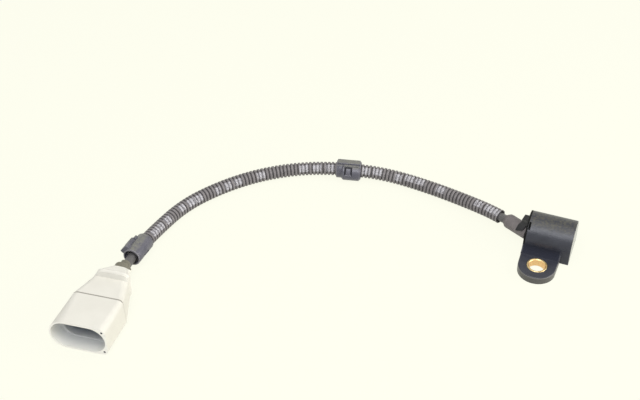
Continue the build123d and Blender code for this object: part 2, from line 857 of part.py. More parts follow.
with BuildPart() as rear_cover:
    with BuildSketch(plug_plane(cover_start)):
        plug_outline(seam_left, seam_right, 0, plug_height, seam_left_round, seam_right_round)
    with BuildSketch(plug_plane(band_depth)):
        plug_outline(band_left, band_right, band_bottom, plug_height, band_round, band_round)
    loft()
    with BuildSketch(plug_plane(band_depth)):
        plug_outline(band_left, band_right, band_bottom, plug_height, band_round, band_round)
    with BuildSketch(plug_plane(collar_start)):
        plug_outline(collar_left, collar_right, band_bottom, collar_top, band_round, band_round)
    loft()
    with BuildSketch(plug_plane(collar_start)):
        plug_outline(collar_left, collar_right, band_bottom, collar_top, band_round, band_round)
    extrude(amount=-collar_length)
    with BuildSketch(plug_plane(collar_end)):
        plug_outline(collar_left, collar_right, band_bottom, collar_top, band_round, band_round)
    with BuildSketch(plug_plane(neck_rim_depth)):
        with Locations((0, pin_height)):
            Circle(neck_rim_radius)
    loft(ruled=True)
    with BuildSketch(plug_plane(neck_rim_depth)):
        with Locations((0, pin_height)):
            Circle(neck_rim_radius)
    extrude(amount=neck_rim_depth - neck_end_depth)
    split(bisect_by=neck_cut, keep=Keep.BOTTOM)
    pocket_half = spigot_half + hood_gap
    with BuildSketch(plug_plane(cover_start)):
        plug_outline(
            pin_middle - pocket_half,
            pin_middle + pocket_half,
            spigot_bottom - hood_gap,
            spigot_top + hood_gap,
            spigot_round,
            spigot_round,
        )
    extrude(amount=cover_start - spigot_end - hood_gap, mode=Mode.SUBTRACT)
    room_half = pin_pitch + core_radius + wire_room_margin
    with BuildSketch(plug_plane(spigot_end + hood_gap)):
        with Locations((pin_middle, pin_height)):
            Rectangle(2 * room_half, 2 * seal_radius)
    extrude(amount=spigot_end + hood_gap - hood_end, mode=Mode.SUBTRACT)
    with BuildSketch(plug_plane(hood_end)):
        with Locations((0, pin_height)):
            Circle(grommet_radius - fit_gap)
    extrude(amount=hood_end - grommet_start, mode=Mode.SUBTRACT)
    with BuildSketch(plug_plane(grommet_start)):
        with Locations((0, pin_height)):
            Circle(grommet_radius)
    extrude(amount=grommet_start - neck_end_depth, mode=Mode.SUBTRACT)

# Flared sleeve in the neck, with its flange against the slanted end of the neck.
neck_axis = Axis(plug_point(0, 0, pin_height), rear_dir)
neck_side_plane = Plane(neck_axis.position, x_dir=rear_dir, z_dir=side_dir)
with BuildPart() as rear_grommet:
    with BuildSketch(neck_side_plane):
        with BuildLine():
            Polyline(
                (flare_rim_depth, flare_radius),
                (flare_start, flare_radius),
                (flare_start, 0),
                (flare_end, 0),
                (flare_end, flare_tip_radius),
            )
            ThreePointArc(
                (flare_rim_depth, flare_radius),
                (flare_rim_depth + flare_hollow[0], flare_radius - flare_hollow[1]),
                (flare_end, flare_tip_radius),
            )
        make_face()
    revolve(axis=neck_axis)
    split(bisect_by=neck_cut, keep=Keep.TOP)
    with BuildSketch(plug_plane(grommet_start)):
        with Locations((0, pin_height)):
            Circle(grommet_radius)
    extrude(amount=grommet_start - flare_rim_depth)
    add(lead_tube(cable_radius), mode=Mode.SUBTRACT)

plug_across = square_to(side_dir, entry_dir)
plug_up = square_to(upward, entry_dir)
plug_wires = []
for index, row in enumerate(pin_rows):
    jacket_end = Vector(*lead_points[-1]) + core_offset(index, plug_across, plug_up)
    bend_in = jacket_end + entry_dir * core_lead
    bend_out = plug_point(row, spigot_end + core_lead, pin_height)
    wire_end = plug_point(row, neck_end + crimp_wall, pin_height)
    plug_wires.append(core_wire([jacket_end, bend_in, bend_out, wire_end], core_bend))

# Every piece under its own name.
pieces = {
    "sensor_body": sensor_body,
    "mounting_bush": mounting_bush,
    "end_cap": end_cap,
    "cable_boot": cable_boot,
    "chip_carrier": chip_carrier,
    "bias_magnet": bias_magnet,
    "hall_chip": hall_chip,
    "filter_capacitor": filter_capacitor,
    "cable_jacket": cable_jacket,
    "conduit": conduit,
    "mid_clip": mid_clip,
    "end_clip": end_clip,
    "connector_shroud": connector_shroud,
    "rear_cover": rear_cover,
    "rear_grommet": rear_grommet,
    "terminal_lock": terminal_lock,
}
for number, (terminal, head_wire) in enumerate(zip(head_terminals, head_wires), start=1):
    pieces[f"head_terminal_{number}"] = terminal
    pieces[f"head_wire_{number}"] = head_wire
for number, (pin, seal, plug_wire) in enumerate(zip(contact_pins, wire_seals, plug_wires), start=1):
    pieces[f"contact_pin_{number}"] = pin
    pieces[f"wire_seal_{number}"] = seal
    pieces[f"plug_wire_{number}"] = plug_wire

os.makedirs("parts", exist_ok=True)
for label, piece in pieces.items():
    piece.part.label = label
    export_step(piece.part, f"parts/{label}.step")
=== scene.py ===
# %% [markdown]
# A camshaft position sensor reads a toothed wheel through the wall of an engine. Its black
# head is bolted down by one ear, and a lead in a corrugated sleeve runs from it to a pale
# plug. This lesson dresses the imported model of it. Most hard pieces keep their modelled form
# and get a finish. The cable, its sleeve and the two clips on the sleeve are made here,
# because a smooth curve, fine ridges and small rounded edges are light work in Blender.

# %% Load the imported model
import math
import bmesh
import bpy
from mathutils import Matrix, Vector


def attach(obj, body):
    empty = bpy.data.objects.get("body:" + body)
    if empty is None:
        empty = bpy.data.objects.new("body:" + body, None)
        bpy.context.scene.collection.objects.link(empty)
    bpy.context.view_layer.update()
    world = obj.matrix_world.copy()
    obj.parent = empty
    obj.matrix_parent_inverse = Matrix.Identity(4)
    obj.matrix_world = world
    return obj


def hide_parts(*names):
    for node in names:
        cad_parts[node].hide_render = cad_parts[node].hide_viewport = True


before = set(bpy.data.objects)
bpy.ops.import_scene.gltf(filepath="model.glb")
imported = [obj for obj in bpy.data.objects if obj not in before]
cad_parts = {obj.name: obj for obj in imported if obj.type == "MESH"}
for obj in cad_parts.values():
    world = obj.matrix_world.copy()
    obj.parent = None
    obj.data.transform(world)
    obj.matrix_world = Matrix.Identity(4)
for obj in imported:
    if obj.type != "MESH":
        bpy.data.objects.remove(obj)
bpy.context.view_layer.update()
bpy.ops.object.select_all(action="DESELECT")
scene = bpy.context.scene
scene.view_settings.view_transform = "Standard"

# %% [markdown]
# The camera comes first, because everything is judged through it. The picture was taken from
# the front, a little to the right and about forty degrees up, with a short telephoto lens.
# Its place could be found by eye, but it was worked out from outlines that lie flat on the
# table, because then the sizes that are read through it can be trusted.

# %% Camera
camera_place = Vector((0.0387, -0.3705, 0.3454))
camera_target = Vector((-0.1058, 0.0116, 0.0))
camera_lens = 63.8
camera_film = 36.0

bpy.ops.object.camera_add(location=camera_place)
camera = bpy.context.object
camera.name = "camera"
camera.rotation_euler = (camera_target - camera_place).to_track_quat("-Z", "Y").to_euler()
camera.data.lens = camera_lens
camera.data.sensor_width = camera_film
scene.camera = camera
print("camera distance", round((camera_target - camera_place).length, 3))

# %% [markdown]
# The background is a warm white. Strong light on a white floor would give it, but it would
# also wash out the object. So it comes from colour alone: rays that leave the camera, or that
# bounce off a glossy surface, see plain white, while the light on the object stays moderate.

# %% Rays that show the backdrop
backdrop_colour = (1.0, 1.0, 0.871, 1.0)


def arithmetic(tree, operation, *values):
    """One step of arithmetic on values, each a socket or a plain number."""
    step = tree.nodes.new("ShaderNodeMath")
    step.operation = operation
    for socket, value in zip(step.inputs, values):
        if isinstance(value, (int, float)):
            socket.default_value = value
        else:
            tree.links.new(value, socket)
    return step.outputs[0]


def direct_look(tree):
    """A value of 1 for rays that show the backdrop itself: camera, glossy, transmitted."""
    path = tree.nodes.new("ShaderNodeLightPath")
    camera_ray, glossy_ray = path.outputs["Is Camera Ray"], path.outputs["Is Glossy Ray"]
    seen = arithmetic(tree, "MAXIMUM", camera_ray, glossy_ray)
    return arithmetic(tree, "MAXIMUM", seen, path.outputs["Is Transmission Ray"])


def one_or_other(tree, share, first, second, output):
    """Shows one shader or the other, by a share, at a tree's output node."""
    mix = tree.nodes.new("ShaderNodeMixShader")
    tree.links.new(share, mix.inputs["Fac"])
    tree.links.new(first.outputs[0], mix.inputs[1])
    tree.links.new(second.outputs[0], mix.inputs[2])
    tree.links.new(mix.outputs[0], tree.nodes[output].inputs["Surface"])


print("backdrop colour", backdrop_colour)

# %% World
ambient_tint = (0.98, 0.98, 1.0, 1.0)
ambient_strength = 0.42

world = bpy.data.worlds.new("studio")
scene.world = world
world.use_nodes = True
world_tree = world.node_tree
ambient = world_tree.nodes["Background"]
ambient.inputs["Color"].default_value = ambient_tint
ambient.inputs["Strength"].default_value = ambient_strength
shown = world_tree.nodes.new("ShaderNodeBackground")
shown.inputs["Color"].default_value = backdrop_colour
one_or_other(world_tree, direct_look(world_tree), ambient, shown, "World Output")
print("ambient strength", ambient_strength)

# %% [markdown]
# The table under the sensor is white too, with hardly a shadow. A floor that is only lit
# would turn grey beside the backdrop, and one that only glows would show no shadow. This one
# glows for the most part and is lit for the rest, so that a faint shadow is left.

# %% Floor
floor_half = 1.5
floor_drop = 0.0002
floor_glow = 0.93
floor_colour = (0.9, 0.9, 0.82, 1.0)

bpy.ops.mesh.primitive_plane_add(size=2 * floor_half, location=(0, 0, -floor_drop))
floor = bpy.context.object
floor.name = "floor"
floor_material = bpy.data.materials.new("white_table")
floor_material.use_nodes = True
floor_tree = floor_material.node_tree
floor_tree.nodes.remove(floor_tree.nodes["Principled BSDF"])
matt = floor_tree.nodes.new("ShaderNodeBsdfDiffuse")
matt.inputs["Color"].default_value = floor_colour
glow = floor_tree.nodes.new("ShaderNodeEmission")
glow.inputs["Color"].default_value = backdrop_colour
glow_share = arithmetic(floor_tree, "MULTIPLY", direct_look(floor_tree), floor_glow)
one_or_other(floor_tree, glow_share, matt, glow, "Material Output")
floor.data.materials.append(floor_material)
print("floor", 2 * floor_half, "metres wide")

# %% [markdown]
# Black plastic shows its shape only by what it mirrors. Small lamps would leave small bright
# spots on it, so these are wide panels. One above the camera lays the long pale band on the
# front of the head's crest, one overhead lights all that faces up, and one at the right lifts
# the connector's side and the end of the head.

# %% Lamps
lamp_rows = [
    ("above_camera", (-0.03, -0.36, 0.56), (-0.06, 0.0, 0.0), 0.34, 2.1, (0.93, 0.95, 1.0)),
    ("overhead", (-0.06, 0.02, 0.70), (-0.06, 0.0, 0.0), 0.45, 1.2, (1.0, 0.97, 0.87)),
    ("right_side", (0.55, 0.06, 0.25), (-0.06, 0.0, 0.0), 0.40, 2.4, (1.0, 0.97, 0.93)),
]

for lamp_name, place, target, size, power, tint in lamp_rows:
    bpy.ops.object.light_add(type="AREA", location=place)
    lamp = bpy.context.object
    lamp.name = lamp_name
    lamp.data.size = size
    lamp.data.energy = power
    lamp.data.color = tint
    aim = Vector(target) - Vector(place)
    lamp.rotation_euler = aim.to_track_quat("-Z", "Y").to_euler()
print("lamps", len(lamp_rows))

# %% [markdown]
# Most of the pieces are moulded. A moulding is never one flat colour: its tone wanders over
# a few millimetres, its skin has a fine grain from the tool, and its gloss is uneven. Each
# material could be drawn by hand in the node editor, but they differ only in colour and in
# amounts. So one helper makes them all, from noise that reads Object coordinates, which keeps
# the pattern on the piece.

# %% Helpers for noise
noise_middle = (0.3, 0.7)


def noise(tree, scale, detail=3.0):
    """Noise over the piece, with a scale in patches to the metre."""
    place = tree.nodes.new("ShaderNodeTexCoord")
    texture = tree.nodes.new("ShaderNodeTexNoise")
    texture.inputs["Scale"].default_value = scale
    texture.inputs["Detail"].default_value = detail
    tree.links.new(place.outputs["Object"], texture.inputs["Vector"])
    return texture.outputs["Fac"]


def fade(tree, value, start, end, low=0.0, high=1.0):
    """Goes from low to high while a value goes from start to end."""
    ramp = tree.nodes.new("ShaderNodeMapRange")
    amounts = {"From Min": start, "From Max": end, "To Min": low, "To Max": high}
    for socket_name, amount in amounts.items():
        ramp.inputs[socket_name].default_value = amount
    tree.links.new(value, ramp.inputs["Value"])
    return ramp.outputs["Result"]


def spread(tree, value, low, high):
    """Maps noise, which seldom leaves the middle of its own range, to another range."""
    return fade(tree, value, *noise_middle, low, high)


print("noise is read from", noise_middle[0], "to", noise_middle[1])

# %% Helpers for mixing and relief
def mixed(tree, share, first, second):
    """Goes from one colour to another by a share. Each is three numbers or a socket."""
    mix = tree.nodes.new("ShaderNodeMix")
    mix.data_type = "RGBA"
    for side, colour in (("A", first), ("B", second)):
        if isinstance(colour, tuple):
            mix.inputs[side].default_value = (*colour, 1.0)
        else:
            tree.links.new(colour, mix.inputs[side])
    tree.links.new(share, mix.inputs["Factor"])
    return mix.outputs["Result"]


def bump(tree, value, depth, strength=1.0):
    """A bump of a depth in metres from a value."""
    relief = tree.nodes.new("ShaderNodeBump")
    relief.inputs["Distance"].default_value = depth
    relief.inputs["Strength"].default_value = strength
    tree.links.new(value, relief.inputs["Height"])
    return relief.outputs["Normal"]


print("colours can be mixed and grain raised")

# %% Helpers for moulded finishes
gloss_fineness = 2.3
grain_detail = 2.0


def blank_finish(name):
    """A new material that has only a surface node and an output."""
    material = bpy.data.materials.new(name)
    material.use_nodes = True
    return material


def opened(material):
    """A material's node tree and its surface node."""
    return material.node_tree, material.node_tree.nodes["Principled BSDF"]


def moulded(name, dark, light, patches, gloss, grain, grain_depth, specular=0.4):
    """A finish with wandering tone, uneven gloss and a fine grain. Scales are to the metre."""
    material = blank_finish(name)
    tree, surface = opened(material)
    surface.inputs["Specular IOR Level"].default_value = specular
    tone = spread(tree, noise(tree, patches), 0.0, 1.0)
    tree.links.new(mixed(tree, tone, dark, light), surface.inputs["Base Color"])
    sheen = spread(tree, noise(tree, patches * gloss_fineness), *gloss)
    tree.links.new(sheen, surface.inputs["Roughness"])
    relief = bump(tree, noise(tree, grain, grain_detail), grain_depth)
    tree.links.new(relief, surface.inputs["Normal"])
    return material


def finish_nodes(material, *names):
    """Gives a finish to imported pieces."""
    for node_name in names:
        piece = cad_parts[node_name]
        piece.data.materials.clear()
        piece.data.materials.append(material)
    print(material.name, "on", len(names), "pieces")


print("gloss wanders", gloss_fineness, "times as fast as tone")

# %% [markdown]
# A real surface also changes with its place: dust lies on top, shade sits in a corner, and a
# handled edge is rubbed pale. Such marks could be painted, but a painted picture belongs to
# one mesh. Here each is a layer over the finish below it, with a share from 0 to 1 that is
# worked out from where a point is and which way it faces.

# %% Helpers for where a layer lies
def place_parts(tree):
    """The X, Y and Z of the point that is being coloured."""
    place = tree.nodes.new("ShaderNodeTexCoord")
    parts = tree.nodes.new("ShaderNodeSeparateXYZ")
    tree.links.new(place.outputs["Object"], parts.inputs["Vector"])
    return parts.outputs


def facing_parts(tree):
    """The X, Y and Z of the direction that the surface faces."""
    geometry = tree.nodes.new("ShaderNodeNewGeometry")
    parts = tree.nodes.new("ShaderNodeSeparateXYZ")
    tree.links.new(geometry.outputs["Normal"], parts.inputs["Vector"])
    return parts.outputs


def both(tree, first, second):
    """A share that is full only where two shares are full."""
    return arithmetic(tree, "MULTIPLY", first, second)


def distance_from(tree, first, second, centre):
    """How far a point is from a line, from its two coordinates across the line."""
    first_step = arithmetic(tree, "SUBTRACT", first, centre[0])
    second_step = arithmetic(tree, "SUBTRACT", second, centre[1])
    second_square = arithmetic(tree, "MULTIPLY", second_step, second_step)
    square = arithmetic(tree, "MULTIPLY_ADD", first_step, first_step, second_square)
    return arithmetic(tree, "SQRT", square)


print("layers can follow place, facing and distance")

# %% Helpers for what a layer changes
def layer_colour(tree, surface, share, colour):
    """Lays a colour over what a surface has, by a share."""
    below = surface.inputs["Base Color"].links[0].from_socket
    tree.links.new(mixed(tree, share, below, colour), surface.inputs["Base Color"])


def layer_gloss(tree, surface, share, roughness):
    """Moves a surface's roughness to a value, by a share."""
    mix = tree.nodes.new("ShaderNodeMix")
    mix.inputs["B"].default_value = roughness
    tree.links.new(surface.inputs["Roughness"].links[0].from_socket, mix.inputs["A"])
    tree.links.new(share, mix.inputs["Factor"])
    tree.links.new(mix.outputs["Result"], surface.inputs["Roughness"])


print("layers can change colour and roughness")

# %% [markdown]
# The head is moulded from glass-filled nylon, near black with a cold tint and a satin skin.
# Plain black would hide the crest, so its tone lies a little above black, and the lamps draw
# its edges.

# %% Head plastic
head_plastic = moulded(
    "head_plastic", dark=(0.017, 0.019, 0.032), light=(0.028, 0.030, 0.045), patches=260,
    gloss=(0.30, 0.42), grain=3800, grain_depth=0.00003, specular=0.5,
)
head_tree, head_surface = opened(head_plastic)
head_x, head_y, head_z = place_parts(head_tree)
head_tilt = facing_parts(head_tree)["Z"]
finish_nodes(head_plastic, "sensor_body")

# %% [markdown]
# The head has been handled, and a thin pale dust lies on top of it. A mask of noise alone
# would spread it over the sides too, so the noise counts only where the skin faces up and
# stands high.

# %% Dust on the head
dust_scale = 900
dust_detail = 4.0
dust_patch_edge = (0.40, 0.62)
dust_facing = (0.72, 0.98)
dust_height = (0.012, 0.014)
dust_colour = (0.060, 0.058, 0.050)

dust_patches = fade(head_tree, noise(head_tree, dust_scale, dust_detail), *dust_patch_edge)
dust_lies = both(
    head_tree, fade(head_tree, head_tilt, *dust_facing), fade(head_tree, head_z, *dust_height)
)
layer_colour(head_tree, head_surface, both(head_tree, dust_patches, dust_lies), dust_colour)
print("dust from a height of", dust_height[0])

# %% [markdown]
# The ear's steep sides get a paler grey, a painted reflection of the white table, and
# their upper edge shows as a thin paler line, a painted highlight. A bevel in the mesh would
# catch light there, but the imported solid is kept as it is, so both are layers: the first
# covers steep faces of the ear, and the second only the top of those.

# %% Painted reflection and highlight on the ear's sides
ear_steepness = (0.75, 0.35)
ear_top = (0.0037, 0.0034)
ear_root = (0.0083, 0.0076)
ear_side_reflection_colour = (0.080, 0.077, 0.072)
ear_line_height = (0.0028, 0.0031)
ear_edge_highlight_colour = (0.170, 0.165, 0.160)

steepness = fade(head_tree, arithmetic(head_tree, "ABSOLUTE", head_tilt), *ear_steepness)
on_ear = both(head_tree, fade(head_tree, head_z, *ear_top), fade(head_tree, head_y, *ear_root))
# The steep sides get a painted reflection, and the top of them a painted highlight.
ear_side_reflection = both(head_tree, steepness, on_ear)
layer_colour(head_tree, head_surface, ear_side_reflection, ear_side_reflection_colour)
ear_edge_highlight = both(head_tree, ear_side_reflection, fade(head_tree, head_z, *ear_line_height))
layer_colour(head_tree, head_surface, ear_edge_highlight, ear_edge_highlight_colour)
print("edge line above", ear_line_height[0])

# %% [markdown]
# Where the ear meets the block, the corner lies in deep shade, and the latch slot in the
# crest is darker still. Lamps could be moved until both fall dark, but that would change the
# rest. So each gets a dark and matt layer that goes by the distance from a line along X. For
# the corner that is the line of the root, and for the slot it is the crest's axis, because
# the slot's walls are what lies below the crest's skin.

# %% Shade in the corner and in the slot
root_corner = (0.0085, 0.0035)
corner_reach = (0.0040, 0.0028)
corner_half_width = (0.0086, 0.0078)
corner_colour = (0.010, 0.012, 0.024)
corner_roughness = 0.95
crest_axis = (0.01775, 0.0065)
crest_skin = 0.00918
crest_skin_depth = 0.0001
slot_height = (0.0068, 0.0075)
slot_colour = (0.002, 0.002, 0.002)
slot_roughness = 1.0

from_corner = distance_from(head_tree, head_y, head_z, root_corner)
from_middle = arithmetic(head_tree, "ABSOLUTE", head_x)
near_corner = fade(head_tree, from_corner, *corner_reach)
corner_share = both(head_tree, near_corner, fade(head_tree, from_middle, *corner_half_width))
layer_colour(head_tree, head_surface, corner_share, corner_colour)
layer_gloss(head_tree, head_surface, corner_share, corner_roughness)
from_axis = distance_from(head_tree, head_y, head_z, crest_axis)
below_skin = fade(head_tree, from_axis, crest_skin, crest_skin - crest_skin_depth)
slot_share = both(head_tree, below_skin, fade(head_tree, head_z, *slot_height))
layer_colour(head_tree, head_surface, slot_share, slot_colour)
layer_gloss(head_tree, head_surface, slot_share, slot_roughness)
print("slot darkened above", slot_height[0])

# %% [markdown]
# The flat end of the head is smoother than the rest, as if its mould was polished there, and
# it mirrors more. Only its roughness changes, by place along X.

# %% Gloss of the end face
end_face_x = 0.0122
end_face_fade = 0.0003
end_face_roughness = 0.10

end_face = fade(head_tree, head_x, end_face_x - end_face_fade, end_face_x)
layer_gloss(head_tree, head_surface, end_face, end_face_roughness)
print("end face from", end_face_x)

# %% [markdown]
# The end cap is a second moulding, blacker and duller than the head. Its spigot reaches into
# the head, and the latch nose on it shows through the slot in the crest, in full shade. That
# end is darkened by place, which needs no extra geometry.

# %% End cap
slot_start = -0.0085
slot_start_fade = 0.0001
slot_end_colour = (0.003, 0.003, 0.003)

cap_plastic = moulded(
    "cap_plastic", dark=(0.010, 0.010, 0.013), light=(0.018, 0.018, 0.022), patches=300,
    gloss=(0.46, 0.60), grain=3600, grain_depth=0.00003, specular=0.35,
)
cap_tree, cap_surface = opened(cap_plastic)
cap_x = place_parts(cap_tree)["X"]
in_slot = fade(cap_tree, cap_x, slot_start - slot_start_fade, slot_start + slot_start_fade)
layer_colour(cap_tree, cap_surface, in_slot, slot_end_colour)
layer_gloss(cap_tree, cap_surface, in_slot, slot_roughness)
finish_nodes(cap_plastic, "end_cap")

# %% [markdown]
# The boot between the head and the cable is soft rubber, a browner and lighter grey. Rubber
# is rougher than nylon, so its highlights are wider and its grain coarser.

# %% Cable boot
boot_rubber = moulded(
    "boot_rubber", dark=(0.140, 0.124, 0.127), light=(0.186, 0.166, 0.167), patches=240,
    gloss=(0.45, 0.6), grain=2600, grain_depth=0.00004,
)
finish_nodes(boot_rubber, "cable_boot")

# %% [markdown]
# The bush in the ear is a rolled brass sleeve. Turning and rolling leave fine lines round it.
# They could be modelled, but they are shallower than a hair is thick, so its bump comes from
# rings about the bolt's axis, and its tone from soft tarnish. The bore is a brighter orange.

# %% Brass
tarnish_scale = 420
tarnish_tones = ((0.48, 0.35, 0.17), (0.70, 0.56, 0.32))
brass_gloss_scale = 900
brass_gloss = (0.32, 0.48)
ring_scale = 900
ring_wander = 1.0
ring_depth = 0.00002
ring_strength = 0.4

brass = blank_finish("rolled_brass")
brass_tree, brass_surface = opened(brass)
brass_surface.inputs["Metallic"].default_value = 1.0
tarnish = spread(brass_tree, noise(brass_tree, tarnish_scale), 0.0, 1.0)
brass_tree.links.new(mixed(brass_tree, tarnish, *tarnish_tones), brass_surface.inputs["Base Color"])
brass_sheen = spread(brass_tree, noise(brass_tree, brass_gloss_scale), *brass_gloss)
brass_tree.links.new(brass_sheen, brass_surface.inputs["Roughness"])
rings = brass_tree.nodes.new("ShaderNodeTexWave")
rings.wave_type = "RINGS"
rings.rings_direction = "Z"
rings.inputs["Scale"].default_value = ring_scale
rings.inputs["Distortion"].default_value = ring_wander
brass_place = brass_tree.nodes.new("ShaderNodeTexCoord")
brass_tree.links.new(brass_place.outputs["Object"], rings.inputs["Vector"])
brass_relief = bump(brass_tree, rings.outputs["Fac"], ring_depth, ring_strength)
brass_tree.links.new(brass_relief, brass_surface.inputs["Normal"])
print("brass lines", ring_depth, "deep")

# %% Bright bore of the bush
bolt_axis = (0.0, 0.0)
bore_edge = (0.0037, 0.0036)
bore_colour = (0.82, 0.56, 0.28)

brass_x, brass_y = place_parts(brass_tree)[:2]
from_bolt = distance_from(brass_tree, brass_x, brass_y, bolt_axis)
layer_colour(brass_tree, brass_surface, fade(brass_tree, from_bolt, *bore_edge), bore_colour)
finish_nodes(brass, "mounting_bush")

# %% [markdown]
# Inside the head and the connector sit the pieces that do the work. They are rarely seen, and
# one grey would do from outside, but whoever opens the model learns from their colours. So
# each kind has its own row here: carrier, epoxy, ceramic, seals, lock, cores and plated metal.

# %% Finishes of the inner pieces
wire_numbers = (1, 2, 3)
inner_rows = {
    "carrier_plastic": ((0.05, 0.05, 0.055), (0.09, 0.09, 0.095), 300, (0.45, 0.6), 3000, 0.00003),
    "chip_epoxy": ((0.02, 0.02, 0.02), (0.035, 0.035, 0.035), 500, (0.5, 0.65), 5000, 0.00002),
    "capacitor_ceramic": ((0.36, 0.26, 0.16), (0.46, 0.34, 0.22), 500, (0.4, 0.5), 4000, 0.00001),
    "seal_rubber": ((0.36, 0.08, 0.04), (0.46, 0.12, 0.06), 400, (0.4, 0.55), 3000, 0.00002),
    "lock_plastic": ((0.46, 0.22, 0.04), (0.56, 0.28, 0.06), 300, (0.4, 0.5), 3000, 0.00002),
    "core_skin": ((0.10, 0.10, 0.11), (0.16, 0.16, 0.17), 600, (0.35, 0.5), 4000, 0.00001),
    "tin_plating": ((0.52, 0.52, 0.50), (0.66, 0.66, 0.64), 500, (0.28, 0.42), 2600, 0.00001),
}
inner_pieces = {
    "carrier_plastic": ["chip_carrier"],
    "chip_epoxy": ["hall_chip"],
    "capacitor_ceramic": ["filter_capacitor"],
    "seal_rubber": [f"wire_seal_{n}" for n in wire_numbers],
    "lock_plastic": ["terminal_lock"],
    "core_skin": [f"{kind}_{n}" for kind in ("head_wire", "plug_wire") for n in wire_numbers],
    "tin_plating": [f"{kind}_{n}" for kind in ("head_terminal", "contact_pin") for n in wire_numbers],
}
inner_pieces["tin_plating"].append("bias_magnet")
inner_metals = {"tin_plating"}

for finish_name, amounts in inner_rows.items():
    inner_finish = moulded(finish_name, *amounts)
    if finish_name in inner_metals:
        opened(inner_finish)[1].inputs["Metallic"].default_value = 1.0
    finish_nodes(inner_finish, *inner_pieces[finish_name])

# %% [markdown]
# The connector is a pale warm grey, almost white where the light falls on it. The plastic is
# slightly milky, so its edges stay soft. Light that wanders inside the plastic could be
# simulated, but it is slow and is lost on export, so a plain finish with a low contrast
# between its two tones stands for it.

# %% Connector plastic
connector_plastic = moulded(
    "connector_plastic", dark=(0.725, 0.705, 0.630), light=(0.765, 0.745, 0.670), patches=120,
    gloss=(0.42, 0.55), grain=2400, grain_depth=0.00002,
)
finish_nodes(connector_plastic, "connector_shroud", "rear_cover")

# %% [markdown]
# The connector lies turned by a few degrees, so its layers are easier to place from its own
# mouth than from the world. A Mapping node gives that view: across the mouth, inwards from it
# and up. One for points moves and turns, and one for directions only turns.

# %% The connector seen from its mouth
mouth_middle = (-0.16379, -0.11163, 0.00735)
plug_turn = math.radians(5.9)


def plug_frame(tree, vector, kind):
    """A point or a direction seen from the mouth: across it, inwards from it and up."""
    turn = tree.nodes.new("ShaderNodeMapping")
    turn.vector_type = kind
    if kind == "TEXTURE":
        turn.inputs["Location"].default_value = mouth_middle
        turn.inputs["Rotation"].default_value = (0, 0, plug_turn)
    else:
        turn.inputs["Rotation"].default_value = (0, 0, -plug_turn)
    tree.links.new(vector, turn.inputs["Vector"])
    parts = tree.nodes.new("ShaderNodeSeparateXYZ")
    tree.links.new(turn.outputs["Vector"], parts.inputs["Vector"])
    return parts.outputs


plug_tree, plug_surface = opened(connector_plastic)
plug_place = plug_tree.nodes.new("ShaderNodeTexCoord")
plug_normal = plug_tree.nodes.new("ShaderNodeNewGeometry")
across, inward, height = plug_frame(plug_tree, plug_place.outputs["Object"], "TEXTURE")
lean, facing, tilt = plug_frame(plug_tree, plug_normal.outputs["Normal"], "VECTOR")
print("connector turned by", round(math.degrees(plug_turn), 1), "degrees")

# %% [markdown]
# The mouth falls off from cream at the rim to a blue grey in its depth. Real light would do
# this with many bounces, but it would stay too pale, because the walls are nearly white. So a
# ramp of three tones follows the depth. It counts only on walls that face the middle of the
# mouth and on the faces that look out of it, and it ends before the seam.

# %% Shade inside the mouth
mouth_tones = [
    (0.00, (0.900, 0.885, 0.810)),
    (0.50, (0.590, 0.600, 0.600)),
    (1.00, (0.150, 0.175, 0.245)),
]
mouth_reach = 0.0125
wall_facing_in = (-0.0003, -0.0012)
face_looking_out = (-0.5, -0.8)
past_rim = (0.003, 0.005)
before_seam = (0.0175, 0.0165)


def tones_along(tree, value, tones):
    """A colour that runs through three tones, each with its place from 0 to 1."""
    ramp = tree.nodes.new("ShaderNodeValToRGB")
    ramp.color_ramp.elements.new(tones[1][0])
    for element, (place, tone) in zip(ramp.color_ramp.elements, tones):
        element.position = place
        element.color = (*tone, 1.0)
    tree.links.new(value, ramp.inputs["Fac"])
    return ramp.outputs["Color"]


upright_part = arithmetic(plug_tree, "MULTIPLY", height, tilt)
outwardness = arithmetic(plug_tree, "MULTIPLY_ADD", across, lean, upright_part)
inner_wall = fade(plug_tree, outwardness, *wall_facing_in)
deep_face = both(
    plug_tree, fade(plug_tree, facing, *face_looking_out), fade(plug_tree, inward, *past_rim)
)
in_mouth = arithmetic(plug_tree, "MAXIMUM", inner_wall, deep_face)
inside = both(plug_tree, in_mouth, fade(plug_tree, inward, *before_seam))
mouth_colour = tones_along(plug_tree, fade(plug_tree, inward, 0.0, mouth_reach), mouth_tones)
layer_colour(plug_tree, plug_surface, inside, mouth_colour)
print("mouth shaded to a depth of", mouth_reach)

# %% [markdown]
# The seam between the shroud and the rear cover gets painted shade, a thin brown grey line on
# top. The gap is in the solids, but it is too narrow to fall dark by itself. Further back the
# neck of the cover gets painted light, paler than the rest.

# %% Painted shade in the seam and painted light on the neck
seam_depth = 0.0176
seam_half = 0.00022
seam_fade = (1.6 * seam_half, 0.9 * seam_half)
seam_facing = (0.1, 0.7)
seam_shade_colour = (0.25, 0.23, 0.20)
neck_start = (0.0296, 0.0325)
neck_light_colour = (0.87, 0.85, 0.78)

past_seam = arithmetic(plug_tree, "SUBTRACT", inward, seam_depth)
seam_line = fade(plug_tree, arithmetic(plug_tree, "ABSOLUTE", past_seam), *seam_fade)
seam_shade_share = both(plug_tree, seam_line, fade(plug_tree, tilt, *seam_facing))
# Painted shade along the seam.
layer_colour(plug_tree, plug_surface, seam_shade_share, seam_shade_colour)
# Painted light on the neck of the cover.
layer_colour(plug_tree, plug_surface, fade(plug_tree, inward, *neck_start), neck_light_colour)
print("seam at", seam_depth)

# %% [markdown]
# The rim of the mouth is the palest part, a cream ring that faces forward, with painted light
# on it. Two small key holes in it are painted dark, as the shade in them. Both are layers near
# the mouth: the ring goes by the way the surface faces, and the holes by the distance from
# their own middles.

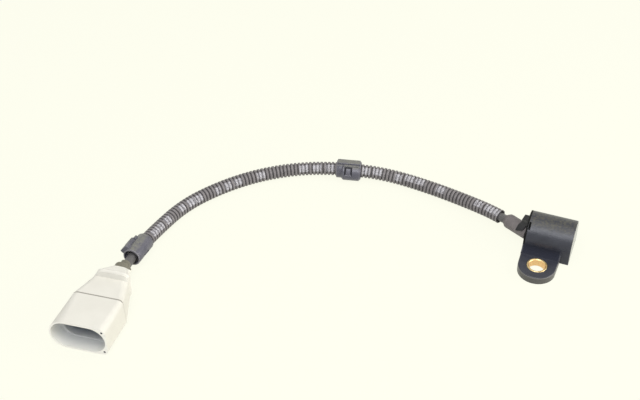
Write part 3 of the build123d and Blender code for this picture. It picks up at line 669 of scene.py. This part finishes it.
# %% Painted light on the rim and painted shade in the key holes
rim_facing = (-0.7, -0.9)
rim_depth = (0.0012, 0.0006)
rim_light_colour = (0.93, 0.91, 0.84)
key_across = 0.010975
key_heights = (-0.0055, 0.0055)
key_edge = (0.00055, 0.00045)
key_depth = (0.0020, 0.0012)
key_hole_shade_colour = (0.06, 0.06, 0.07)

on_rim = fade(plug_tree, inward, *rim_depth)
rim_light_share = both(plug_tree, fade(plug_tree, facing, *rim_facing), on_rim)
# Painted light on the forward-facing rim.
layer_colour(plug_tree, plug_surface, rim_light_share, rim_light_colour)
near_mouth = fade(plug_tree, inward, *key_depth)
# Painted shade in each key hole.
for key_height in key_heights:
    from_key = distance_from(plug_tree, across, height, (key_across, key_height))
    key_hole_shade_share = both(plug_tree, fade(plug_tree, from_key, *key_edge), near_mouth)
    layer_colour(plug_tree, plug_surface, key_hole_shade_share, key_hole_shade_colour)
print("key holes", len(key_heights))

# %% [markdown]
# The grommet in the connector's neck is dark rubber with an olive tint. Its flare catches
# the light unevenly, so its two tones lie further apart than those of the plastics.

# %% Grommet
grommet_rubber = moulded(
    "grommet_rubber", dark=(0.125, 0.117, 0.092), light=(0.215, 0.200, 0.156), patches=500,
    gloss=(0.4, 0.55), grain=2600, grain_depth=0.00003,
)
finish_nodes(grommet_rubber, "rear_grommet")

# %% [markdown]
# The cable is one smooth curve. A tube along straight runs and arcs would look like bent
# wire. Its route is a short list of points, and a NURBS spline with those points as its
# control points gives the gentle bends that a stiff round cable takes. The spline's order is
# set after its points, or it would stay a row of straight lines.

# %% Route of the lead
lead_points = [
    (-0.0070, 0.0155, 0.0066),
    (-0.0223, 0.0239, 0.0058),
    (-0.0400, 0.0304, 0.0042),
    (-0.0610, 0.0354, 0.0033),
    (-0.0820, 0.0370, 0.0035),
    (-0.1020, 0.0325, 0.0045),
    (-0.1210, 0.0270, 0.0034),
    (-0.1380, 0.0155, 0.0032),
    (-0.1515, 0.0005, 0.0032),
    (-0.1620, -0.0175, 0.0032),
    (-0.1660, -0.0385, 0.0038),
    (-0.16705, -0.06005, 0.0061),
    (-0.1647, -0.0814, 0.00735),
]
print("route points", len(lead_points))

# %% Cable
cable_radius = 0.0020
curve_steps = 24
cable_roundness = 10


def route_curve(name, points, radius):
    """A round cord on a smooth spline whose control points are the route's points."""
    curve = bpy.data.curves.new(name, "CURVE")
    curve.dimensions = "3D"
    curve.resolution_u = curve_steps
    curve.bevel_depth = radius
    curve.bevel_resolution = cable_roundness
    curve.use_fill_caps = True
    spline = curve.splines.new("NURBS")
    spline.points.add(len(points) - 1)
    for control, point in zip(spline.points, points):
        control.co = (*point, 1.0)
    spline.order_u = 3
    spline.use_endpoint_u = True
    cord = bpy.data.objects.new(name, curve)
    scene.collection.objects.link(cord)
    return cord


cable = route_curve("cable", lead_points, cable_radius)
print("cable", round(2 * cable_radius, 4), "thick")

# %% [markdown]
# The sleeve and the clips follow the same line. A second curve with no thickness is turned
# into a mesh for a moment, its points are read, and both go away again.

# %% Line of the lead
line_curve = route_curve("lead_line", lead_points, 0.0)
line_curve.data.use_fill_caps = False
line_mesh = bpy.data.meshes.new_from_object(line_curve)
lead_line = [vertex.co.copy() for vertex in line_mesh.vertices]
bpy.data.objects.remove(line_curve)
bpy.data.meshes.remove(line_mesh)
lead_reach = [0.0]
for before, after in zip(lead_line, lead_line[1:]):
    lead_reach.append(lead_reach[-1] + (after - before).length)
lead_length = lead_reach[-1]


def lead_place(distance):
    """The point and the direction of the lead at a distance from its head end."""
    last_run = len(lead_reach) - 2
    for index in range(last_run + 1):
        if lead_reach[index + 1] >= distance or index == last_run:
            run = lead_line[index + 1] - lead_line[index]
            share = (distance - lead_reach[index]) / run.length
            return lead_line[index] + run * share, run.normalized()


print("cable length", round(lead_length, 4), "points read", len(lead_line))

# %% [markdown]
# The cable's sheath is a dark rubbery plastic. It shows only for a short way at each end of
# the sleeve. The imported jacket is hidden, and the pieces that hang on the cable at the plug
# are listed and counted.

# %% Sheath of the cable and the pieces on it
sheath = moulded(
    "cable_sheath", dark=(0.086, 0.082, 0.084), light=(0.135, 0.130, 0.130), patches=420,
    gloss=(0.4, 0.55), grain=3000, grain_depth=0.00003,
)
cable.data.materials.append(sheath)
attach(cable, "root")
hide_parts("cable_jacket")
plug_pieces = ["connector_shroud", "rear_cover", "rear_grommet", "terminal_lock"]
for number in wire_numbers:
    plug_pieces += [f"contact_pin_{number}", f"wire_seal_{number}", f"plug_wire_{number}"]
print("pieces on the cable", 1 + len(plug_pieces))

# %% [markdown]
# The sleeve over the cable is a corrugated tube: a row of flat-topped ridges, each a little
# less than two millimetres from the next, with a thin wall. An array of one ridge on a curve
# would do it, but could not carry the print. So the section of a single ridge is drawn once,
# as shares of the pitch with their radii, and rings of points repeat it along the lead. The
# sleeve starts and ends on a ridge, and its bore is wider at the cut end near the head.

# %% Sleeve sizes
sleeve_start = 0.0173
sleeve_before_plug = 0.0214
sleeve_end = lead_length - sleeve_before_plug
ridge_pitch = 0.0018
ridge_radius = 0.0032
groove_radius = 0.0026
ridge_rounding = 0.00012
sleeve_bore = 0.0024
end_bore = 0.0028
end_bore_depth = 0.0016
crest_share = 0.42
crest_end = 0.80
ridge_section = [
    (0.00, groove_radius),
    (0.22, groove_radius),
    (0.32, ridge_radius - ridge_rounding),
    (crest_share, ridge_radius),
    (crest_end, ridge_radius),
    (0.90, ridge_radius - ridge_rounding),
]
ridge_count = int((sleeve_end - sleeve_start) / ridge_pitch + 1 + crest_share - crest_end)
last_share = ridge_count - 1 + crest_end
sleeve_stop = sleeve_start + (last_share - crest_share) * ridge_pitch
print("sleeve ridges", ridge_count, "to", round(sleeve_stop, 4))

# %% Rings of the sleeve
inner_steps = 40
narrow_start = sleeve_start + end_bore_depth

sleeve_rings = [(sleeve_start, end_bore, 0.0)]
for ridge in range(ridge_count):
    for share, radius in ridge_section:
        if crest_share <= ridge + share <= last_share:
            place = sleeve_start + (ridge + share - crest_share) * ridge_pitch
            sleeve_rings.append((place, radius, 1.0))
for step in range(inner_steps):
    back = sleeve_stop - (sleeve_stop - narrow_start) * step / (inner_steps - 1)
    sleeve_rings.append((back, sleeve_bore, 0.0))
sleeve_rings.append((narrow_start, end_bore, 0.0))
print("rings", len(sleeve_rings))

# %% [markdown]
# The sleeve carries pale printed marks, worn and speckled. They could come from an image, but
# a short list does: each field has its middle and length along the sleeve, in millimetres,
# and its turn from the top, in degrees. Every point of the mesh keeps its share of print, and
# how far it stands out, for the finish to read. Ink reaches the grooves only in part.

# %% Fields of print
print_fields = [
    (1.9, 3.8, 27), (5.8, 3.6, 26), (11.5, 4.4, 24), (32.0, 4.4, 33), (43.0, 4.2, 26),
    (48.4, 4.6, 24), (54.2, 3.0, 48), (64.8, 4.0, 40), (70.5, 3.6, 48), (87.8, 4.2, 48),
    (94.2, 4.2, 50), (100.7, 4.2, 48), (122.5, 4.4, 52), (134.5, 4.2, 52), (139.9, 3.4, 54),
    (145.7, 3.0, 60), (156.4, 4.2, 48), (161.2, 4.2, 43), (166.9, 4.0, 38), (177.7, 4.4, 42),
    (183.0, 3.8, 38), (188.0, 4.2, 39),
]
print_half_width = 1.7
groove_print = 0.45
to_millimetres = 1000


def print_share(along, turn, radius):
    """How much print covers a place, from its distance along and its turn from the top."""
    for middle, length, middle_turn in print_fields:
        if abs(along - middle) <= length / 2:
            from_line = abs(turn - math.radians(middle_turn)) * radius
            return 1.0 if from_line <= print_half_width else 0.0
    return 0.0


print("fields of print", len(print_fields))

# %% Points of the sleeve
sleeve_sides = 56
upward = Vector((0, 0, 1))
sleeve_build = bmesh.new()
print_layer = sleeve_build.verts.layers.float.new("print")
# How far each point stands out, which sets the painted shade of the grooves.
stand_out_layer = sleeve_build.verts.layers.float.new("stand_out")


def ring_of_points(distance, radius, outside):
    """One ring of the sleeve, each of its points with its print and how far it stands out."""
    centre, along = lead_place(distance)
    near_side = upward.cross(along).normalized()
    top_side = along.cross(near_side)
    raised = outside * (radius - groove_radius) / (ridge_radius - groove_radius)
    along_print = (distance - sleeve_start) * to_millimetres
    ring = []
    for side in range(sleeve_sides):
        angle = 2 * math.pi * side / sleeve_sides
        vert = sleeve_build.verts.new(
            centre + (top_side * math.cos(angle) + near_side * math.sin(angle)) * radius
        )
        cover = print_share(along_print, angle, radius * to_millimetres)
        vert[print_layer] = cover * (groove_print + (1 - groove_print) * raised)
        vert[stand_out_layer] = raised
        ring.append(vert)
    return ring


rings_built = [ring_of_points(*row) for row in sleeve_rings]
print("points", len(rings_built) * sleeve_sides)

# %% Sleeve mesh
for ring, next_ring in zip(rings_built, rings_built[1:] + rings_built[:1]):
    for side in range(sleeve_sides):
        after = (side + 1) % sleeve_sides
        sleeve_build.faces.new((ring[side], ring[after], next_ring[after], next_ring[side]))
bmesh.ops.recalc_face_normals(sleeve_build, faces=sleeve_build.faces)
sleeve_mesh = bpy.data.meshes.new("corrugated_sleeve")
sleeve_build.to_mesh(sleeve_mesh)
sleeve_build.free()
sleeve = bpy.data.objects.new("corrugated_sleeve", sleeve_mesh)
scene.collection.objects.link(sleeve)
print("sleeve faces", len(sleeve_mesh.polygons))

# %% Smooth shading of the sleeve
sleeve_sharp_angle = 35


def smooth_by_angle(piece, degrees):
    """Shades a piece smooth, except where two faces meet at more than an angle."""
    bpy.context.view_layer.objects.active = piece
    piece.select_set(True)
    bpy.ops.object.shade_smooth_by_angle(angle=math.radians(degrees))
    piece.select_set(False)


smooth_by_angle(sleeve, sleeve_sharp_angle)
print("sleeve edges sharp from", sleeve_sharp_angle, "degrees")

# %% [markdown]
# The clips are dark blue grey nylon, glossier than the sleeve. A little dust lies on what
# faces up. Their cut ends get a painted highlight, paler, and the latch recess painted shade,
# nearly black, so those faces get materials of their own: a layer by place would have to
# follow each clip's turn.

# %% Clip finishes
clip_dust_facing = (0.80, 0.99)
clip_dust_scale = 700
clip_dust_detail = 4.0
clip_dust_patch_edge = (0.25, 0.55)
clip_dust_colour = (0.190, 0.188, 0.165)
clip_patches = 320
clip_grain = 2600
clip_grain_depth = 0.00003

clip_plastic = moulded(
    "clip_plastic", (0.078, 0.077, 0.103), (0.122, 0.119, 0.146),
    clip_patches, (0.26, 0.38), clip_grain, clip_grain_depth, specular=0.5,
)
clip_tree, clip_surface = opened(clip_plastic)
clip_facing = fade(clip_tree, facing_parts(clip_tree)["Z"], *clip_dust_facing)
clip_noise = noise(clip_tree, clip_dust_scale, clip_dust_detail)
clip_dust = both(clip_tree, clip_facing, fade(clip_tree, clip_noise, *clip_dust_patch_edge))
layer_colour(clip_tree, clip_surface, clip_dust, clip_dust_colour)
# Painted highlight for the clips' cut ends.
clip_end_highlight = moulded(
    "clip_end_highlight", (0.165, 0.160, 0.180), (0.215, 0.208, 0.225),
    clip_patches, (0.30, 0.42), clip_grain, clip_grain_depth,
)
# Painted shade for the latch recess.
clip_recess_shade = moulded(
    "clip_recess_shade", (0.012, 0.012, 0.018), (0.022, 0.022, 0.030),
    clip_patches, (0.6, 0.8), clip_grain, clip_grain_depth,
)
print("clip finishes", [finish.name for finish in (clip_plastic, clip_recess_shade, clip_end_highlight)])

# %% [markdown]
# Two clamshell clips hold the sleeve. Each is a short barrel in two halves, with ribs on one
# side, and a tab on one half snaps into a window of the other. The barrel could be a Screw
# modifier on a drawn profile. Here it is a ring of points that is extruded and resized step
# by step, as a turner would work from one end to the other and back through the bore. Ribs
# are bevelled boxes that are joined on, and the window and the parting line are cut out.

# %% Turned tubes
clip_sides = 64
merge_distance = 0.000005


def turned_tube(name, profile, shift=0.0):
    """A closed tube about the X axis from (place, radius) points that return to the start."""
    start_place, start_radius = profile[0]
    bpy.ops.mesh.primitive_circle_add(
        vertices=clip_sides, radius=start_radius, location=(start_place, 0, 0),
        rotation=(0, math.pi / 2, 0),
    )
    piece = bpy.context.object
    piece.name = name
    bpy.ops.object.transform_apply(location=True, rotation=True, scale=True)
    bpy.ops.object.mode_set(mode="EDIT")
    bpy.ops.mesh.select_all(action="SELECT")
    for (place, radius), (next_place, next_radius) in zip(profile, profile[1:] + profile[:1]):
        step = (next_place - place, 0, 0)
        bpy.ops.mesh.extrude_region_move(TRANSFORM_OT_translate={"value": step})
        change = next_radius / radius
        bpy.ops.transform.resize(value=(1, change, change), center_override=(0, 0, 0))
    bpy.ops.mesh.select_all(action="SELECT")
    bpy.ops.mesh.remove_doubles(threshold=merge_distance)
    bpy.ops.mesh.normals_make_consistent(inside=False)
    bpy.ops.transform.translate(value=(0, shift, 0))
    bpy.ops.object.mode_set(mode="OBJECT")
    return piece


print("tubes have", clip_sides, "sides")

# %% Bevelled boxes
bevel_steps = 3


def bevelled_box(name, centre, sides, turn, rounding):
    """A box with rounded edges, turned about the X axis."""
    bpy.ops.mesh.primitive_cube_add(size=1)
    piece = bpy.context.object
    piece.name = name
    bpy.ops.object.mode_set(mode="EDIT")
    bpy.ops.transform.resize(value=sides, center_override=(0, 0, 0))
    bpy.ops.mesh.select_all(action="SELECT")
    if rounding:
        bpy.ops.mesh.bevel(offset=rounding, segments=bevel_steps, affect="EDGES")
    bpy.ops.object.mode_set(mode="OBJECT")
    piece.rotation_euler = (turn, 0, 0)
    piece.location = centre
    bpy.ops.object.transform_apply(location=True, rotation=True, scale=True)
    return piece


print("boxes are rounded in", bevel_steps, "steps")

# %% Joining and cutting
def combine(piece, other, operation):
    """Joins or cuts a piece with another, which goes away."""
    change = piece.modifiers.new(operation.lower(), "BOOLEAN")
    change.operation = operation
    change.solver = "EXACT"
    change.object = other
    bpy.context.view_layer.objects.active = piece
    bpy.ops.object.modifier_apply(modifier=change.name)
    bpy.data.objects.remove(other)


print("pieces can be joined and cut")

# %% [markdown]
# A clip's barrel has rounded ends, and its bore is a step wider near each end, so that its
# wall looks thin there. The middle clip also swells to the side where its latch is. That
# swelling is a second barrel beside the first, with a filler between them, and the bore is
# cut again at the end.

# %% Barrel of a clip
clip_bore = 0.0033
end_round = 0.0004
end_round_middle = end_round * 0.3
mouth_depth = 0.0016


def clip_barrel(name, half, radius, mouth):
    """The barrel of a clip, with rounded ends and a wider mouth at each end."""
    profile = [
        (-half, mouth),
        (-half, radius - end_round),
        (-half + end_round_middle, radius - end_round_middle),
        (-half + end_round, radius),
        (half - end_round, radius),
        (half - end_round_middle, radius - end_round_middle),
        (half, radius - end_round),
        (half, mouth),
        (half - mouth_depth, mouth),
        (half - mouth_depth, clip_bore),
        (-half + mouth_depth, clip_bore),
        (-half + mouth_depth, mouth),
    ]
    return turned_tube(name, profile)


print("clip bore", clip_bore)

# %% Swelling of the middle clip
swell_slope = 0.0009
swell_top_end = 0.0035
swell_end = 0.0026
filler_shift = 0.0010
filler_shorter = 0.0036
filler_lower = 0.0006
filler_overlap = 1.02
filler_rounding = 0.0003


def add_swelling(shell, half, radius, bulge):
    """Joins a second barrel beside the first, fills between them and cuts the bore again."""
    profile = [
        (-half, radius - swell_slope),
        (-half + swell_slope, radius),
        (half - swell_top_end, radius),
        (half - swell_end, radius - swell_slope),
        (half - swell_end, clip_bore),
        (-half, clip_bore),
    ]
    swelling = turned_tube("swelling", profile, bulge)
    filler_sides = (2 * half - filler_shorter, bulge * filler_overlap, 2 * radius - filler_lower)
    filler_place = (-filler_shift, bulge / 2, 0)
    filler = bevelled_box("filler", filler_place, filler_sides, 0.0, filler_rounding)
    combine(swelling, filler, "UNION")
    combine(shell, swelling, "UNION")
    bpy.ops.mesh.primitive_cylinder_add(
        vertices=clip_sides, radius=clip_bore, depth=4 * half, rotation=(0, math.pi / 2, 0)
    )
    hollow = bpy.context.object
    bpy.ops.object.transform_apply(location=True, rotation=True, scale=True)
    combine(shell, hollow, "DIFFERENCE")


print("swelling ends", swell_end, "before the clip")

# %% [markdown]
# The parting line runs the whole length of the barrel. The latch is a window with a tab in
# it: the window is cut first and the tab is set back into it, so that a dark gap is left all
# round. The ribs stand on top, sunk a little into the barrel so that they join it.

# %% Parting line
parting_overrun = 1.2
parting_width = 0.00022
parting_height = 0.0007


def direction_at(turn):
    """The direction across the clip that is turned from its top by an angle."""
    return Vector((0, math.sin(turn), math.cos(turn)))


def cut_parting_line(shell, middle, length, radius, turn):
    """Cuts the fine line where the two halves meet."""
    sides = (length * parting_overrun, parting_width, parting_height)
    cutter = bevelled_box("parting_line", middle + direction_at(turn) * radius, sides, -turn, 0.0)
    combine(shell, cutter, "DIFFERENCE")


print("parting line", parting_width, "wide")

# %% Latch and ribs
window_sides = (0.0038, 0.0044, 0.0014)
window_rounding = 0.00015
tab_sides = (0.0022, 0.0030, 0.0012)
tab_rounding = 0.00018
tab_set_back = 0.0007
rib_sink = 0.0009
rib_rounding = 0.00032


def add_latch(shell, middle, radius, turn):
    """Cuts the window and sets the tab back into it."""
    out = direction_at(turn)
    window = bevelled_box("window", middle + out * radius, window_sides, -turn, window_rounding)
    combine(shell, window, "DIFFERENCE")
    tab_place = middle + out * (radius - tab_set_back)
    tab = bevelled_box("tab", tab_place, tab_sides, -turn, tab_rounding)
    combine(shell, tab, "UNION")


def add_rib(shell, half, radius, start, length, rise, width):
    """Joins one rib to the top of the barrel, from a place after the clip's first end."""
    centre = (start + length / 2 - half, 0, radius + (rise - rib_sink) / 2)
    rib = bevelled_box("rib", centre, (length, width, rise + rib_sink), 0.0, rib_rounding)
    combine(shell, rib, "UNION")


print("window", window_sides, "tab", tab_sides)

# %% [markdown]
# A finished clip is painted face by face: its cut ends with a painted highlight, and what lies
# below the skin near the latch with painted shade. Up to here it lies about the X axis at the
# origin, where every step is easy to work out. Last it is turned along the lead and moved
# there, and its place is applied to its mesh.

# %% Paint of a clip
recess_depth = 0.00035
recess_half_length = 0.0021
recess_spread = 0.75
bore_skin = 0.0001


def paint_clip(shell, middle, half, radius, mouth, latch_out):
    """Gives the ends a painted highlight and the latch recess painted shade, as finishes of their
    own.
    """
    shell.data.materials.clear()
    for finish in (clip_plastic, clip_recess_shade, clip_end_highlight):
        shell.data.materials.append(finish)
    for face in shell.data.polygons:
        out = face.center - middle
        out.x = 0
        if abs(face.center.x) > half - end_round and face.center.yz.length > mouth:
            face.material_index = 2
        in_wall = clip_bore + bore_skin < out.length < radius - recess_depth
        near_latch = abs(face.center.x) < recess_half_length
        if in_wall and near_latch and out.normalized().dot(latch_out) > recess_spread:
            face.material_index = 1


print("recess", recess_depth, "below the barrel's skin")

# %% Place of a clip
def set_on_lead(shell, distance, rib_direction):
    """Turns a clip along the lead, with its ribs in a direction, and puts it in its place."""
    place, along = lead_place(distance)
    up = Vector(rib_direction)
    up = (up - along * up.dot(along)).normalized()
    side = up.cross(along)
    shell.matrix_world = Matrix.Translation(place) @ Matrix((along, side, up)).transposed().to_4x4()
    bpy.context.view_layer.objects.active = shell
    shell.select_set(True)
    bpy.ops.object.transform_apply(location=True, rotation=True, scale=True)
    shell.select_set(False)


print("clips are set along", round(lead_length, 4), "of lead")

# %% [markdown]
# Both clips are made by the same steps from a row of sizes. Distances are along the lead from
# its head end, and turns are from the rib, in degrees. Each rib has its start, length, rise
# and width.

# %% Sizes of the clips
end_clip_before_plug = 0.0274
clip_rows = {
    "mid_clip_shell": {
        "node": "mid_clip",
        "distance": 0.0963,
        "length": 0.0118,
        "radius": 0.0042,
        "bulge": 0.0015,
        "rib_direction": (0, 0, 1),
        "ribs": [(0.0004, 0.0110, 0.0007, 0.0032)],
        "latch_turn": 54,
        "parting_turn": 20,
        "mouth_radius": 0.0036,
    },
    "end_clip_shell": {
        "node": "end_clip",
        "distance": lead_length - end_clip_before_plug,
        "length": 0.0132,
        "radius": 0.0041,
        "bulge": 0.0,
        "rib_direction": (-0.8, 0, 0.6),
        "ribs": [
            (0.0024, 0.0022, 0.0009, 0.0030),
            (0.0050, 0.0042, 0.0016, 0.0030),
            (0.0098, 0.0027, 0.0015, 0.0046),
        ],
        "latch_turn": 178,
        "parting_turn": 146,
        "mouth_radius": 0.0035,
    },
}
print("clips", list(clip_rows))

# %% Clips
clip_sharp_angle = 30


def clip_shell(name, row):
    """Builds a clip about the X axis, with its ribs at the top, and sets it on the lead."""
    half = row["length"] / 2
    radius = row["radius"]
    mouth = row["mouth_radius"]
    middle = Vector((0, row["bulge"], 0))
    latch_turn = math.radians(row["latch_turn"])
    shell = clip_barrel(name, half, radius, mouth)
    if row["bulge"]:
        add_swelling(shell, half, radius, row["bulge"])
    cut_parting_line(shell, middle, row["length"], radius, math.radians(row["parting_turn"]))
    add_latch(shell, middle, radius, latch_turn)
    for rib_row in row["ribs"]:
        add_rib(shell, half, radius, *rib_row)
    paint_clip(shell, middle, half, radius, mouth, direction_at(latch_turn))
    set_on_lead(shell, row["distance"], row["rib_direction"])
    smooth_by_angle(shell, clip_sharp_angle)
    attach(shell, "root")
    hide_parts(row["node"])
    print(name, "faces", len(shell.data.polygons))
    return shell


clip_shells = [clip_shell(name, row) for name, row in clip_rows.items()]

# %% [markdown]
# The sleeve is mid grey nylon. Its grooves get painted shade, darker than its ridges, and the
# print is a chalky grey that lies only within its fields. One noise would make print and
# plastic uneven alike, so the print has a finer one of its own, which leaves it speckled.

# %% Sleeve finish
groove_shade_colour = (0.072, 0.066, 0.070)
print_colour = (0.54, 0.53, 0.56)
wear_scale = 1900
wear_detail = 2.0
wear_spread = (-0.1, 1.6)

sleeve_finish = moulded(
    "sleeve_nylon", dark=(0.165, 0.152, 0.156), light=(0.235, 0.218, 0.220), patches=500,
    gloss=(0.42, 0.58), grain=3200, grain_depth=0.00003,
)
sleeve_tree, sleeve_surface = opened(sleeve_finish)
ridge_colour = sleeve_surface.inputs["Base Color"].links[0].from_socket
stand_out_mark = sleeve_tree.nodes.new("ShaderNodeAttribute")
stand_out_mark.attribute_name = "stand_out"
print_mark = sleeve_tree.nodes.new("ShaderNodeAttribute")
print_mark.attribute_name = "print"
wear = spread(sleeve_tree, noise(sleeve_tree, wear_scale, wear_detail), *wear_spread)
print_cover = both(sleeve_tree, print_mark.outputs["Fac"], wear)
print_cover.node.use_clamp = True
# Painted shade: the grooves are darker than the ridges.
groove_shaded = mixed(sleeve_tree, stand_out_mark.outputs["Fac"], groove_shade_colour, ridge_colour)
printed = mixed(sleeve_tree, print_cover, groove_shaded, print_colour)
sleeve_tree.links.new(printed, sleeve_surface.inputs["Base Color"])
sleeve.data.materials.append(sleeve_finish)
print("print wears in", wear_scale, "patches to the metre")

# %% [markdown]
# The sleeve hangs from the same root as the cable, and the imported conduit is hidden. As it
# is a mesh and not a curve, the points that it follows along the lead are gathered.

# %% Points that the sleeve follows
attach(sleeve, "root")
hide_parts("conduit")
sleeve_path = [lead_place(sleeve_start)[0]]
sleeve_path += [p for p, s in zip(lead_line, lead_reach) if sleeve_start < s < sleeve_stop]
sleeve_path.append(lead_place(sleeve_stop)[0])
print("sleeve follows", len(sleeve_path), "points")
